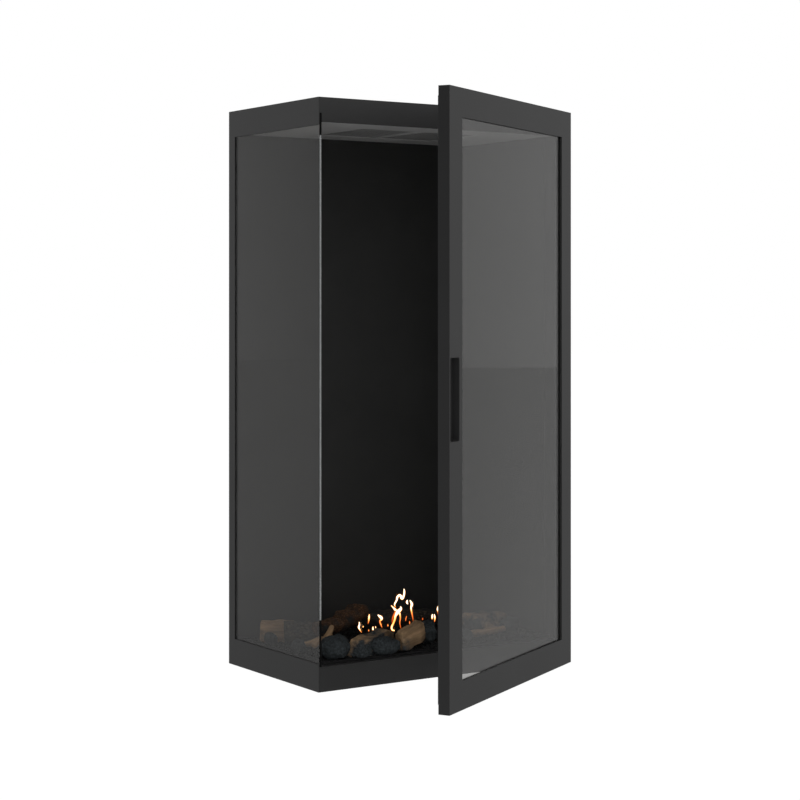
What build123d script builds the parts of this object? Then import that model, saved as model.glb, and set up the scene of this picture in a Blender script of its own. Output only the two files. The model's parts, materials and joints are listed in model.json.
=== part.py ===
# Corner gas fireplace: tall steel body, fixed side glass and a framed glass door on the front
from build123d import *
from math import cos, pi, radians, sin
import os

os.makedirs("parts", exist_ok=True)

# Body, with the origin at the centre of its base: X along the front, Y to the back, Z up
body_width = 650.0
body_depth = 400.0
body_height = 1270.0
sheet = 2.0
thin_sheet = 1.5
gap = 0.3
plinth_height = 53.5
header_height = 53.5
back_cavity = 28.5
right_cavity = 16.6
jamb_depth = 37.6

left = -body_width / 2
right = body_width / 2
front = -body_depth / 2
back = body_depth / 2
ceiling_z = body_height - header_height
liner_y = back - back_cavity
liner_x = right - right_cavity

# Fixed side glass and the steel trim in front of it
pane_thickness = 5.0
pane_top = 1236.0
pane_seat = 0.5
pane_rear_cover = 8.0
clip_sheet = 0.8
top_clip_length = 48.0
bottom_clip_length = 100.0
trim_band = 60.0
trim_post = 28.0
pane_x = left + sheet
pane_bottom = plinth_height + pane_seat
pane_front = front + clip_sheet
pane_rear = back - trim_post + pane_rear_cover
stop_height = 8.0

# Front door, made about its hinge axis and turned to its open rest position
hinge_x = right + 6.0
hinge_y = front - 1.0
door_turn = 29.4
door_gap = 2.0
door_thickness = 25.0
door_reveal = 1.0
door_overhang = 1.5
free_stile = 60.5
hinge_stile = 55.5
rail = 60.0
door_bottom = door_reveal
door_top = body_height - door_reveal
door_free = left + door_overhang - hinge_x
door_hinged = right - hinge_x
door_inner = front - door_gap - hinge_y
door_outer = door_inner - door_thickness
door_x = Vector(cos(radians(door_turn)), sin(radians(door_turn)), 0)
door_y = Vector(-sin(radians(door_turn)), cos(radians(door_turn)), 0)
hinge_axis = Vector(hinge_x, hinge_y, 0)

# Door glass, its rebate and the strips that hold it
rebate = 11.0
lip_depth = 4.0
glass_recess = 5.0
glass_thickness = 5.0
glass_play = 0.5
gasket_thickness = 1.0
strip_leg = 9.0
strip_foot = 9.5
strip_head_radius = 3.6
strip_head_height = 2.0
side_screws = 5
end_screws = 3

# Recessed finger pull in the free stile
pull_offset = 3.3
pull_width = 43.2
pull_height = 170.0
pull_depth = 16.5
pull_wall = 1.0
pull_corner = 5.0

# Door seal and magnetic catches
seal_width = 12.0
seal_thickness = 1.7
seal_free_offset = 1.5
seal_hinge_offset = 3.0
seal_end_offset = 20.0
magnet_radius = 5.5
magnet_length = 6.0
magnet_end_offset = 39.5
magnet_free_offset = 42.0
magnet_pitch = 30.0

# Lift-off hinges at three heights
hinge_heights = (120.0, 635.0, 1150.0)
barrel_radius = 5.5
barrel_length = 29.5
washer_thickness = 1.0
pin_radius = 3.0
pin_fit = 0.02
pin_running = 0.06
pin_seat = 22.0
pin_reach = 24.0
leaf_thickness = 2.5
leaf_length = 34.0
door_leaf_length = 20.0

# Ceiling openings with perforated grilles
grille_width = 145.0
grille_depth = 195.0
grille_bridge = 20.0
grille_front_margin = 92.0
grille_edge = 6.0
grille_pitch = 14.0
grille_hole = 8.0

# Concentric flue in the header
flue_inner_radius = 50.0
flue_outer_radius = 75.0
flue_wall = 1.5
flue_rise = 12.0
flue_flange = 15.0
flue_screw_count = 6
flue_screw_radius = 3.5
flue_screw_height = 2.0
plenum_margin = 8.0
plenum_height = 37.0
ring_fit = 0.1
collar_neck = flue_outer_radius - 0.7

# Gas train in the plinth and burner in the floor
inlet_x = 200.0
inlet_z = 27.0
inlet_thread_radius = 8.33
inlet_shank_radius = 8.0
inlet_reach = 14.0
inlet_collar = 2.0
inlet_nut = 11.0
inlet_nut_length = 8.0
valve_width = 90.0
valve_depth = 60.0
valve_height = 36.0
valve_y = 110.0
valve_drum_radius = 14.0
valve_drum_length = 25.0
pipe_radius = 4.0
burner_width = 380.0
burner_depth = 110.0
burner_height = 14.0
burner_rise = 4.0
burner_x = -20.0
burner_y = -30.0
port_width = 3.0
port_length = 24.0
port_pitch = 32.0
port_rows = 2
throat_offset = 60.0
throat_width = 28.0
injector_radius = 6.0
injector_length = 26.0
pilot_x = 150.0
pilot_y = 60.0
pilot_depth = 20.0
pilot_height = 24.0
pilot_cap_height = 10.0
pilot_clearing = (44.0, 20.0)
probe_height = 30.0
probe_offset = 12.0
electrode_radius = 2.5
thermocouple_radius = 2.0
ember_thickness = 6.0
ember_front_margin = 16.0


def rectangle_between(x0, x1, y0, y1, mode=Mode.ADD):
    """Draws a rectangle by its edges in the open sketch."""
    with Locations(((x0 + x1) / 2, (y0 + y1) / 2)):
        Rectangle(x1 - x0, y1 - y0, mode=mode)


def ring_between(x0, x1, y0, y1, width):
    """Draws a rectangular ring of one width in the open sketch."""
    rectangle_between(x0, x1, y0, y1)
    rectangle_between(x0 + width, x1 - width, y0 + width, y1 - width, Mode.SUBTRACT)


def door_face(depth):
    """The door's plane at a depth behind its outer face, looking in: x along the door, y up."""
    return Plane(
        origin=hinge_axis + door_y * (door_outer + depth),
        x_dir=door_x,
        z_dir=door_y * -1,
    )


def door_level(height):
    """A level plane at a height, with its origin on the hinge axis and x along the door."""
    return Plane(origin=hinge_axis + Vector(0, 0, height), x_dir=door_x, z_dir=(0, 0, 1))


def save(builder, name):
    """Labels a finished piece and writes it."""
    builder.part.label = name
    export_step(builder.part, f"parts/{name}.step")


# Base tray: folded plinth, open on top, with a hole for the gas inlet
with BuildPart() as base_tray:
    with BuildSketch():
        rectangle_between(pane_x, right, front, back)
    extrude(amount=plinth_height)
    with BuildSketch(Plane.XY.offset(sheet)):
        rectangle_between(pane_x + sheet, right - sheet, front + sheet, back - sheet)
    extrude(amount=plinth_height, mode=Mode.SUBTRACT)
    with BuildSketch(Plane.XZ.offset(-back)):
        with Locations((inlet_x, inlet_z)):
            Circle(inlet_thread_radius + gap)
    extrude(amount=sheet * 2, mode=Mode.SUBTRACT)
    outer_corners = base_tray.edges().filter_by(Axis.Z).group_by(Axis.Y)[0]
    fillet(outer_corners, 0.8)
save(base_tray, "base_tray")

# Floor deck: the firebox floor, folded down at its edges and cut out for the burner
deck_fold = 12.0
with BuildPart() as floor_deck:
    with BuildSketch(Plane.XY.offset(plinth_height)):
        rectangle_between(
            pane_x + sheet + gap, right - sheet - gap, front + sheet + gap, back - sheet - gap
        )
    extrude(amount=-deck_fold)
    with BuildSketch(Plane.XY.offset(plinth_height - sheet)):
        rectangle_between(
            pane_x + 2 * sheet + gap,
            right - 2 * sheet - gap,
            front + 2 * sheet + gap,
            back - 2 * sheet - gap,
        )
    extrude(amount=-deck_fold, mode=Mode.SUBTRACT)
    with BuildSketch(Plane.XY.offset(plinth_height)):
        with Locations((burner_x, burner_y)):
            Rectangle(burner_width + 2 * gap, burner_depth + 2 * gap)
        with Locations((pilot_x, pilot_y)):
            Circle(injector_radius + gap)
    extrude(amount=-sheet, mode=Mode.SUBTRACT)
save(floor_deck, "floor_deck")

# Header box: folded top, open below, notched for the side glass and holed for the flue
with BuildPart() as header_box:
    with BuildSketch(Plane.XY.offset(ceiling_z)):
        rectangle_between(pane_x, right, front, back)
    extrude(amount=header_height)
    with BuildSketch(Plane.XY.offset(ceiling_z)):
        rectangle_between(pane_x + 4 * sheet, right - sheet, front + sheet, back - sheet)
    extrude(amount=header_height - sheet, mode=Mode.SUBTRACT)
    with BuildSketch(Plane.XY.offset(ceiling_z)):
        rectangle_between(pane_x, pane_x + 3 * sheet, front + sheet, back - sheet)
    extrude(amount=header_height - sheet, mode=Mode.SUBTRACT)
    with BuildSketch(Plane.XY.offset(ceiling_z)):
        rectangle_between(pane_x, pane_x + pane_thickness + 0.5, front, front + sheet)
    extrude(amount=pane_top + gap - ceiling_z, mode=Mode.SUBTRACT)
    with BuildSketch(Plane.XY.offset(body_height)):
        Circle(collar_neck + gap)
    extrude(amount=-sheet, mode=Mode.SUBTRACT)
save(header_box, "header_box")

# Side trim: flat steel surround of the side glass, open at the corner
with BuildPart() as side_trim:
    with BuildSketch(Plane.YZ.offset(left)):
        rectangle_between(front, back, 0, body_height)
        rectangle_between(
            front, back - trim_post, trim_band, body_height - trim_band, Mode.SUBTRACT
        )
    extrude(amount=sheet)
save(side_trim, "side_trim")

# Side glass: one frameless pane that ends at the front corner
with BuildPart() as side_glass:
    with BuildSketch(Plane.YZ.offset(pane_x + 0.1)):
        rectangle_between(pane_front, pane_rear, pane_bottom, pane_top)
    extrude(amount=pane_thickness - 0.2)
    chamfer(side_glass.edges().filter_by(Axis.Z), 0.4)
save(side_glass, "side_glass")

# Clips over the front edge of the side glass, at its top and bottom
clip_spans = (
    (pane_bottom, pane_bottom + bottom_clip_length),
    (pane_top - top_clip_length, pane_top),
)
with BuildPart() as glass_clips:
    for low, high in clip_spans:
        with BuildSketch(Plane.XY.offset(low)):
            rectangle_between(pane_x, pane_x + pane_thickness, front, pane_front)
        extrude(amount=high - low)
save(glass_clips, "glass_clips")

# Setting tape under the side glass
with BuildPart() as glass_seat:
    with BuildSketch(Plane.XY.offset(plinth_height)):
        rectangle_between(pane_x, pane_x + pane_thickness, pane_front, pane_rear)
    extrude(amount=pane_seat)
save(glass_seat, "glass_seat")

# Angle behind the foot of the side glass
stop_x = pane_x + pane_thickness + gap
with BuildPart() as glass_stop:
    with BuildSketch(Plane.XZ.offset(-(front + sheet))):
        rectangle_between(stop_x, stop_x + thin_sheet, plinth_height, plinth_height + stop_height)
        rectangle_between(stop_x, stop_x + stop_height, plinth_height, plinth_height + thin_sheet)
    extrude(amount=-(liner_y - gap - front - sheet))
save(glass_stop, "glass_stop")

# Rear post: folded channel that holds the rear edge of the side glass and the header
post_inner_x = stop_x + thin_sheet / 2
post_front_y = liner_y + thin_sheet + gap + thin_sheet / 2
post_rear_y = back - sheet - gap - thin_sheet / 2
post_jog_y = pane_rear + gap + thin_sheet / 2
with BuildPart() as rear_post:
    with BuildSketch(Plane.XY.offset(plinth_height)):
        with BuildLine():
            Polyline(
                (post_inner_x + 20, post_front_y),
                (post_inner_x, post_front_y),
                (post_inner_x, post_jog_y),
                (pane_x + thin_sheet / 2, post_jog_y),
                (pane_x + thin_sheet / 2, post_rear_y),
                (post_inner_x + 20, post_rear_y),
            )
        trace(line_width=thin_sheet)
    extrude(amount=ceiling_z - plinth_height)
save(rear_post, "rear_post")

# Right jamb: folded channel beside the door opening
with BuildPart() as right_jamb:
    with BuildSketch(Plane.XY.offset(plinth_height)):
        with BuildLine():
            Polyline(
                (liner_x + sheet / 2, front + jamb_depth),
                (liner_x + sheet / 2, front + sheet / 2),
                (right - sheet / 2, front + sheet / 2),
                (right - sheet / 2, front + jamb_depth),
            )
        trace(line_width=sheet)
    extrude(amount=ceiling_z - plinth_height)
save(right_jamb, "right_jamb")

# Outer right panel
panel_front = front + jamb_depth + gap
with BuildPart() as right_panel:
    with BuildSketch(Plane.XY.offset(plinth_height)):
        rectangle_between(right - sheet, right, panel_front, back - sheet)
    extrude(amount=ceiling_z - plinth_height)
save(right_panel, "right_panel")

# Outer back panel
with BuildPart() as back_panel:
    with BuildSketch(Plane.XY.offset(plinth_height)):
        rectangle_between(pane_x, right, back - sheet, back)
    extrude(amount=ceiling_z - plinth_height)
save(back_panel, "back_panel")

# Back liner: the smooth inner back wall, folded at its ends
with BuildPart() as back_liner:
    with BuildSketch(Plane.XY.offset(plinth_height)):
        rectangle_between(stop_x, liner_x - gap, liner_y, liner_y + thin_sheet)
        rectangle_between(liner_x - gap - thin_sheet, liner_x - gap, liner_y, back - sheet - gap)
    extrude(amount=ceiling_z - plinth_height)
save(back_liner, "back_liner")

# Right liner: the smooth inner right wall
with BuildPart() as right_liner:
    with BuildSketch(Plane.XY.offset(plinth_height)):
        rectangle_between(liner_x, liner_x + thin_sheet, panel_front, back - sheet - gap)
    extrude(amount=ceiling_z - plinth_height)
save(right_liner, "right_liner")

# Ceiling panel with its two flue openings
grille_y = front + grille_front_margin + grille_depth / 2
grille_places = [
    (side * (grille_width + grille_bridge) / 2, grille_y) for side in (-1, 1)
]
with BuildPart() as ceiling_panel:
    with BuildSketch(Plane.XY.offset(ceiling_z)):
        rectangle_between(
            pane_x + 4 * sheet + gap, right - sheet - gap, front + sheet + gap, back - sheet - gap
        )
        with Locations(*grille_places):
            Rectangle(grille_width, grille_depth, mode=Mode.SUBTRACT)
    extrude(amount=thin_sheet)
save(ceiling_panel, "ceiling_panel")

# Perforated grilles on the ceiling openings
grille_columns = int(grille_width // grille_pitch)
grille_rows = int(grille_depth // grille_pitch)
with BuildPart() as ceiling_grilles:
    with BuildSketch(Plane.XY.offset(ceiling_z + thin_sheet)):
        with Locations(*grille_places):
            Rectangle(grille_width + 2 * grille_edge, grille_depth + 2 * grille_edge)
        with Locations(*grille_places):
            with GridLocations(grille_pitch, grille_pitch, grille_columns, grille_rows):
                Rectangle(grille_hole, grille_hole, mode=Mode.SUBTRACT)
    extrude(amount=thin_sheet)
save(ceiling_grilles, "ceiling_grilles")

# Flue plenum: collects the gases over both grilles
plenum_x = grille_width + grille_bridge / 2 + grille_edge + plenum_margin
plenum_y = grille_depth / 2 + grille_edge + plenum_margin
plenum_base = ceiling_z + thin_sheet
plenum_top = plenum_base + plenum_height
with BuildPart() as flue_plenum:
    with BuildSketch(Plane.XY.offset(plenum_base)):
        rectangle_between(-plenum_x, plenum_x, grille_y - plenum_y, grille_y + plenum_y)
    extrude(amount=plenum_height)
    with BuildSketch(Plane.XY.offset(plenum_base)):
        rectangle_between(
            thin_sheet - plenum_x,
            plenum_x - thin_sheet,
            grille_y - plenum_y + thin_sheet,
            grille_y + plenum_y - thin_sheet,
        )
    extrude(amount=plenum_height - thin_sheet, mode=Mode.SUBTRACT)
    with BuildSketch(Plane.XY.offset(plenum_top)):
        Circle(flue_inner_radius)
    extrude(amount=-thin_sheet, mode=Mode.SUBTRACT)
save(flue_plenum, "flue_plenum")

# Inner flue socket, standing on the plenum
flue_top = body_height + flue_rise
with BuildPart() as flue_inner:
    with BuildSketch(Plane.XY.offset(plenum_top)):
        Circle(flue_inner_radius + flue_wall)
        Circle(flue_inner_radius, mode=Mode.SUBTRACT)
    extrude(amount=flue_top - plenum_top)
save(flue_inner, "flue_inner")

# Ring that fixes the inner socket to the plenum
with BuildPart() as flue_ring:
    with BuildSketch(Plane.XY.offset(plenum_top)):
        Circle(flue_inner_radius + flue_flange / 2)
        Circle(flue_inner_radius + flue_wall + ring_fit, mode=Mode.SUBTRACT)
    extrude(amount=thin_sheet)
save(flue_ring, "flue_ring")

# Outer flue collar, stepped to drop through its flange into the top plate
flange_top = body_height + thin_sheet
with BuildPart() as flue_outer:
    for low, high, radius in (
        (body_height - sheet, flange_top, collar_neck),
        (flange_top, flue_top, flue_outer_radius),
    ):
        with BuildSketch(Plane.XY.offset(low)):
            Circle(radius)
            Circle(flue_outer_radius - flue_wall, mode=Mode.SUBTRACT)
        extrude(amount=high - low)
save(flue_outer, "flue_outer")

# Flange of the outer collar, screwed to the top plate
with BuildPart() as collar_flange:
    with BuildSketch(Plane.XY.offset(body_height)):
        Circle(flue_outer_radius + flue_flange)
        Circle(collar_neck + ring_fit, mode=Mode.SUBTRACT)
    extrude(amount=thin_sheet)
save(collar_flange, "collar_flange")

# Hexagon heads of the screws that hold the outer flue collar
with BuildPart() as flue_screws:
    with BuildSketch(Plane.XY.offset(flange_top)):
        with PolarLocations(flue_outer_radius + flue_flange / 2, flue_screw_count):
            RegularPolygon(flue_screw_radius, 6)
    extrude(amount=flue_screw_height)
save(flue_screws, "flue_screws")

# Gas inlet union through the rear of the base tray
with BuildPart() as gas_inlet:
    with BuildSketch(Plane.XZ.offset(-(back - sheet - inlet_nut_length))):
        with Locations((inlet_x, inlet_z)):
            RegularPolygon(inlet_nut, 6)
    extrude(amount=-inlet_nut_length)
    for start, length, radius in (
        (back - sheet, sheet, inlet_shank_radius),
        (back, inlet_collar, inlet_nut),
        (back + inlet_collar, inlet_reach - inlet_collar, inlet_thread_radius),
    ):
        with BuildSketch(Plane.XZ.offset(-start)):
            with Locations((inlet_x, inlet_z)):
                Circle(radius)
        extrude(amount=-length)
    chamfer(gas_inlet.faces().sort_by(Axis.Y)[-1].edges(), 1.0)
save(gas_inlet, "gas_inlet")

# Gas valve block with its motor drum
valve_rear = valve_y + valve_depth / 2
with BuildPart() as gas_valve:
    with BuildSketch(Plane.XY.offset(sheet + gap)):
        with Locations((inlet_x, valve_y)):
            RectangleRounded(valve_width, valve_depth, 5)
    extrude(amount=valve_height)
    with BuildSketch(Plane.YZ.offset(inlet_x - valve_width / 2)):
        with Locations((valve_y, sheet + gap + valve_height / 2)):
            Circle(valve_drum_radius)
    extrude(amount=-valve_drum_length)
save(gas_valve, "gas_valve")

# Pipe from the inlet union to the valve
with BuildPart() as supply_pipe:
    with BuildSketch(Plane.XZ.offset(-(valve_rear + gap))):
        with Locations((inlet_x, inlet_z)):
            Circle(pipe_radius)
    extrude(amount=-(back - sheet - inlet_nut_length - valve_rear - 2 * gap))
save(supply_pipe, "supply_pipe")

# Pipe from the valve to the burner injector
valve_front = valve_y - valve_depth / 2
throat_x = burner_x + burner_width / 2 - throat_offset
feed_x = inlet_x - 10
with BuildPart() as burner_pipe:
    with BuildLine() as feed_line:
        FilletPolyline(
            (feed_x, valve_front - gap, inlet_z),
            (feed_x, burner_y, inlet_z),
            (throat_x + injector_length + gap, burner_y, inlet_z),
            radius=16,
        )
    with BuildSketch(Plane.XZ.offset(-(valve_front - gap))):
        with Locations((feed_x, inlet_z)):
            Circle(pipe_radius)
    sweep(path=feed_line.line)
save(burner_pipe, "burner_pipe")

# Injector at the burner throat
with BuildPart() as injector:
    with BuildSketch(Plane.YZ.offset(throat_x)):
        with Locations((burner_y, inlet_z)):
            Circle(injector_radius)
    extrude(amount=injector_length)
    chamfer(injector.edges().filter_by(GeomType.CIRCLE), 1.0)
save(injector, "injector")

# Burner tray: shallow box with rows of slot ports and a throat below
burner_top = plinth_height + burner_rise
port_count = int(burner_width // port_pitch) - 1
with BuildPart() as burner_tray:
    with BuildSketch(Plane.XY.offset(burner_top - burner_height)):
        with Locations((burner_x, burner_y)):
            Rectangle(burner_width, burner_depth)
    extrude(amount=burner_height)
    with BuildSketch(Plane.XY.offset(burner_top - burner_height)):
        with Locations((burner_x, burner_y)):
            Rectangle(burner_width - 2 * thin_sheet, burner_depth - 2 * thin_sheet)
    extrude(amount=burner_height - thin_sheet, mode=Mode.SUBTRACT)
    with BuildSketch(Plane.XY.offset(burner_top)):
        with Locations((burner_x, burner_y)):
            with GridLocations(port_pitch, burner_depth / port_rows, port_count, port_rows):
                Rectangle(port_length, port_width)
    extrude(amount=-thin_sheet, mode=Mode.SUBTRACT)
save(burner_tray, "burner_tray")

# Mixing tube under the burner, carrying the injector
tube_floor = inlet_z - injector_radius - thin_sheet
with BuildPart() as mixing_tube:
    with BuildSketch(Plane.XY.offset(tube_floor)):
        rectangle_between(
            burner_x - throat_offset,
            throat_x - gap,
            burner_y - throat_width / 2,
            burner_y + throat_width / 2,
        )
    extrude(amount=burner_top - burner_height - tube_floor)
save(mixing_tube, "mixing_tube")

# Pilot burner standing through the deck behind the embers
with BuildPart() as pilot_burner:
    with BuildSketch(Plane.XY.offset(plinth_height - pilot_depth)):
        with Locations((pilot_x, pilot_y)):
            Circle(injector_radius)
    extrude(amount=pilot_depth + pilot_height)
    with BuildSketch(Plane.XY.offset(plinth_height + pilot_height)):
        with Locations((pilot_x, pilot_y)):
            Circle(injector_radius + 2)
    extrude(amount=pilot_cap_height)
    chamfer(pilot_burner.faces().sort_by(Axis.Z)[-1].edges(), 3)
save(pilot_burner, "pilot_burner")

# Spark electrode and thermocouple beside the pilot
for probe_name, probe_x, probe_radius in (
    ("spark_electrode", pilot_x - probe_offset, electrode_radius),
    ("thermocouple", pilot_x + probe_offset, thermocouple_radius),
):
    with BuildPart() as probe:
        with BuildSketch(Plane.XY.offset(plinth_height)):
            with Locations((probe_x, pilot_y)):
                Circle(probe_radius)
        extrude(amount=probe_height)
        chamfer(probe.faces().sort_by(Axis.Z)[-1].edges(), probe_radius * 0.5)
    save(probe, probe_name)

# Door frame: welded steel tray with the glass opening and the finger pull's cut-out
opening = (
    door_free + free_stile,
    door_hinged - hinge_stile,
    door_bottom + rail,
    door_top - rail,
)
pull_left = door_free + pull_offset
pull_z = body_height / 2
box_edges = (
    opening[0] - rebate,
    opening[1] + rebate,
    opening[2] - rebate,
    opening[3] + rebate,
)
with BuildPart() as door_frame:
    with BuildSketch(door_face(0)):
        rectangle_between(door_free, door_hinged, door_bottom, door_top)
        rectangle_between(*opening, Mode.SUBTRACT)
        with Locations((pull_left + pull_width / 2, pull_z)):
            RectangleRounded(
                pull_width + 2 * pull_wall + 0.2,
                pull_height + 2 * pull_wall + 0.2,
                pull_corner + pull_wall,
                mode=Mode.SUBTRACT,
            )
    extrude(amount=-sheet)
    with BuildSketch(door_face(sheet)):
        ring_between(door_free, door_hinged, door_bottom, door_top, sheet)
    extrude(amount=-(door_thickness - sheet))
    with BuildSketch(door_face(sheet)):
        rectangle_between(
            opening[0] - sheet, opening[1] + sheet, opening[2] - sheet, opening[3] + sheet
        )
        rectangle_between(*opening, Mode.SUBTRACT)
    extrude(amount=-(lip_depth - sheet))
save(door_frame, "door_frame")

# Door backplate: inner skin with a folded wall round the glass rebate
skin_play = 0.2
inner_skin = door_thickness - sheet
fold_wall = 1.5
screw_depth = door_thickness - 8.0
side_screw_heights = [
    opening[2] + (opening[3] - opening[2]) * (i + 0.5) / side_screws for i in range(side_screws)
]
end_screw_places = [
    opening[0] + (opening[1] - opening[0]) * (i + 0.5) / end_screws for i in range(end_screws)
]
magnet_places = [
    (door_free + magnet_free_offset + i * magnet_pitch, height)
    for i in range(2)
    for height in (door_bottom + magnet_end_offset, door_top - magnet_end_offset)
]


def rebate_plane(x, z, outward):
    """A plane on the rebate wall at the strip screws' depth, facing away from the glass."""
    origin = hinge_axis + door_x * x + door_y * (door_outer + screw_depth) + Vector(0, 0, z)
    return Plane(origin=origin, z_dir=outward)


screw_planes = []
for height in side_screw_heights:
    screw_planes.append(rebate_plane(box_edges[0], height, door_x * -1))
    screw_planes.append(rebate_plane(box_edges[1], height, door_x))
for x in end_screw_places:
    screw_planes.append(rebate_plane(x, box_edges[2], Vector(0, 0, -1)))
    screw_planes.append(rebate_plane(x, box_edges[3], Vector(0, 0, 1)))

with BuildPart() as door_backplate:
    with BuildSketch(door_face(inner_skin)):
        edge = sheet + skin_play
        rectangle_between(
            door_free + edge, door_hinged - edge, door_bottom + edge, door_top - edge
        )
        rectangle_between(*box_edges, Mode.SUBTRACT)
        with Locations(*magnet_places):
            Circle(magnet_radius + 0.1, mode=Mode.SUBTRACT)
    extrude(amount=-sheet)
    with BuildSketch(door_face(sheet)):
        rectangle_between(
            box_edges[0] - fold_wall,
            box_edges[1] + fold_wall,
            box_edges[2] - fold_wall,
            box_edges[3] + fold_wall,
        )
        rectangle_between(*box_edges, Mode.SUBTRACT)
    extrude(amount=-(inner_skin - sheet))
save(door_backplate, "door_backplate")

# Door glass
glass_edges = (
    box_edges[0] + glass_play,
    box_edges[1] - glass_play,
    box_edges[2] + glass_play,
    box_edges[3] - glass_play,
)
with BuildPart() as door_glass:
    with BuildSketch(door_face(glass_recess)):
        rectangle_between(*glass_edges)
    extrude(amount=-glass_thickness)
save(door_glass, "door_glass")

# Flat gaskets on both faces of the door glass
gasket_depths = (glass_recess - gasket_thickness, glass_recess + glass_thickness)
with BuildPart() as glass_gaskets:
    for depth in gasket_depths:
        with BuildSketch(door_face(depth)):
            ring_between(*glass_edges, rebate - glass_play - 1.0)
        extrude(amount=-gasket_thickness)
save(glass_gaskets, "glass_gaskets")

# Angle strips that clamp the door glass, mitred at the corners
strip_start = glass_recess + glass_thickness + gasket_thickness
with BuildPart() as glass_strips:
    with BuildSketch(door_face(strip_start)):
        ring_between(*box_edges, strip_foot)
    extrude(amount=-thin_sheet)
    with BuildSketch(door_face(strip_start)):
        ring_between(*box_edges, thin_sheet)
    extrude(amount=-strip_leg)
    for x, z, turn in (
        (box_edges[0], box_edges[2], 45),
        (box_edges[1], box_edges[2], 135),
        (box_edges[0], box_edges[3], 135),
        (box_edges[1], box_edges[3], 45),
    ):
        with BuildSketch(door_face(strip_start)):
            with Locations(Location((x, z), turn)):
                Rectangle(4 * strip_foot, 0.6)
        extrude(amount=-strip_leg, mode=Mode.SUBTRACT)
save(glass_strips, "glass_strips")

# Hexagon heads of the screws that hold the glass strips
with BuildPart() as strip_screws:
    for plane in screw_planes:
        with BuildSketch(plane.offset(-thin_sheet)):
            RegularPolygon(strip_head_radius, 6)
        extrude(amount=-strip_head_height)
save(strip_screws, "strip_screws")

# Finger pull: pressed cup set flush in the free stile
with BuildPart() as finger_pull:
    with BuildSketch(door_face(0)):
        with Locations((pull_left + pull_width / 2, pull_z)):
            RectangleRounded(
                pull_width + 2 * pull_wall, pull_height + 2 * pull_wall, pull_corner + pull_wall
            )
    extrude(amount=-(pull_depth + pull_wall))
    with BuildSketch(door_face(0)):
        with Locations((pull_left + pull_width / 2, pull_z)):
            RectangleRounded(pull_width, pull_height, pull_corner)
    extrude(amount=-pull_depth, mode=Mode.SUBTRACT)
save(finger_pull, "finger_pull")

# Door seal: flat woven tape on the inner face
with BuildPart() as door_seal:
    with BuildSketch(door_face(door_thickness)):
        seal = (
            door_free + seal_free_offset,
            door_hinged - seal_hinge_offset,
            door_bottom + seal_end_offset,
            door_top - seal_end_offset,
        )
        ring_between(*seal, seal_width)
    extrude(amount=-seal_thickness)
save(door_seal, "door_seal")

# Magnetic catches, flush in the inner face
with BuildPart() as door_magnets:
    with BuildSketch(door_face(door_thickness)):
        with Locations(*magnet_places):
            Circle(magnet_radius)
    extrude(amount=magnet_length)
save(door_magnets, "door_magnets")

# Body halves of the hinges: barrel and leaf in one, welded to the jamb
with BuildPart() as hinge_lower:
    for height in hinge_heights:
        low = height - washer_thickness / 2 - barrel_length
        with BuildSketch(Plane.XY.offset(low)):
            with Locations((hinge_x, hinge_y)):
                Circle(barrel_radius)
            rectangle_between(
                right, right + leaf_thickness, front + 1.0, front + 1.0 + leaf_length
            )
        extrude(amount=barrel_length)
        with BuildSketch(Plane.XY.offset(low + barrel_length)):
            with Locations((hinge_x, hinge_y)):
                Circle(pin_radius + pin_fit)
        extrude(amount=-pin_seat, mode=Mode.SUBTRACT)
save(hinge_lower, "hinge_lower")

# Door halves of the hinges
with BuildPart() as hinge_upper:
    for height in hinge_heights:
        low = height + washer_thickness / 2
        leaf_start = door_inner - 1.5
        with BuildSketch(door_level(low)):
            Circle(barrel_radius)
            rectangle_between(
                door_hinged, door_hinged + leaf_thickness, leaf_start - door_leaf_length, -2.5
            )
        extrude(amount=barrel_length)
        with BuildSketch(door_level(low)):
            Circle(pin_radius + pin_running)
        extrude(amount=pin_reach + 1.0, mode=Mode.SUBTRACT)
save(hinge_upper, "hinge_upper")

# Hinge pins, pressed into the body halves
with BuildPart() as hinge_pins:
    for height in hinge_heights:
        with BuildSketch(Plane.XY.offset(height - washer_thickness / 2 - pin_seat)):
            with Locations((hinge_x, hinge_y)):
                Circle(pin_radius)
        extrude(amount=pin_seat + washer_thickness + pin_reach)
    chamfer(hinge_pins.edges().filter_by(GeomType.CIRCLE), 0.5)
save(hinge_pins, "hinge_pins")

# Bearing washers between the hinge halves
with BuildPart() as hinge_washers:
    for height in hinge_heights:
        with BuildSketch(Plane.XY.offset(height - washer_thickness / 2)):
            with Locations((hinge_x, hinge_y)):
                Circle(barrel_radius)
                Circle(pin_radius + pin_running, mode=Mode.SUBTRACT)
        extrude(amount=washer_thickness)
save(hinge_washers, "hinge_washers")

# Ember bed: loose granules as one layer round the burner
bed_top = plinth_height + ember_thickness
with BuildPart() as ember_bed:
    with BuildSketch(Plane.XY.offset(plinth_height)):
        rectangle_between(
            stop_x + stop_height + gap, liner_x - gap, front + ember_front_margin, liner_y - gap
        )
        with Locations((burner_x, burner_y)):
            Rectangle(burner_width + 2 * gap, burner_depth + 2 * gap, mode=Mode.SUBTRACT)
        with Locations((pilot_x, pilot_y)):
            Rectangle(*pilot_clearing, mode=Mode.SUBTRACT)
    extrude(amount=ember_thickness)
save(ember_bed, "ember_bed")

# Ceramic logs: split or round sections, lofted along each log
split_section = ((-0.5, -0.45), (0.42, -0.5), (0.5, 0.05), (0.12, 0.5), (-0.35, 0.38))
round_section = [
    (0.5 * cos(turn * pi / 4), 0.5 * (1 + 0.12 * sin(2.3 * turn)) * sin(turn * pi / 4))
    for turn in range(8)
]
slab_section = ((-0.5, -0.35), (0.45, -0.5), (0.5, 0.3), (0.1, 0.5), (-0.45, 0.42))
swell = (0.86, 1.0, 0.94, 1.04, 0.82)


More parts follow.
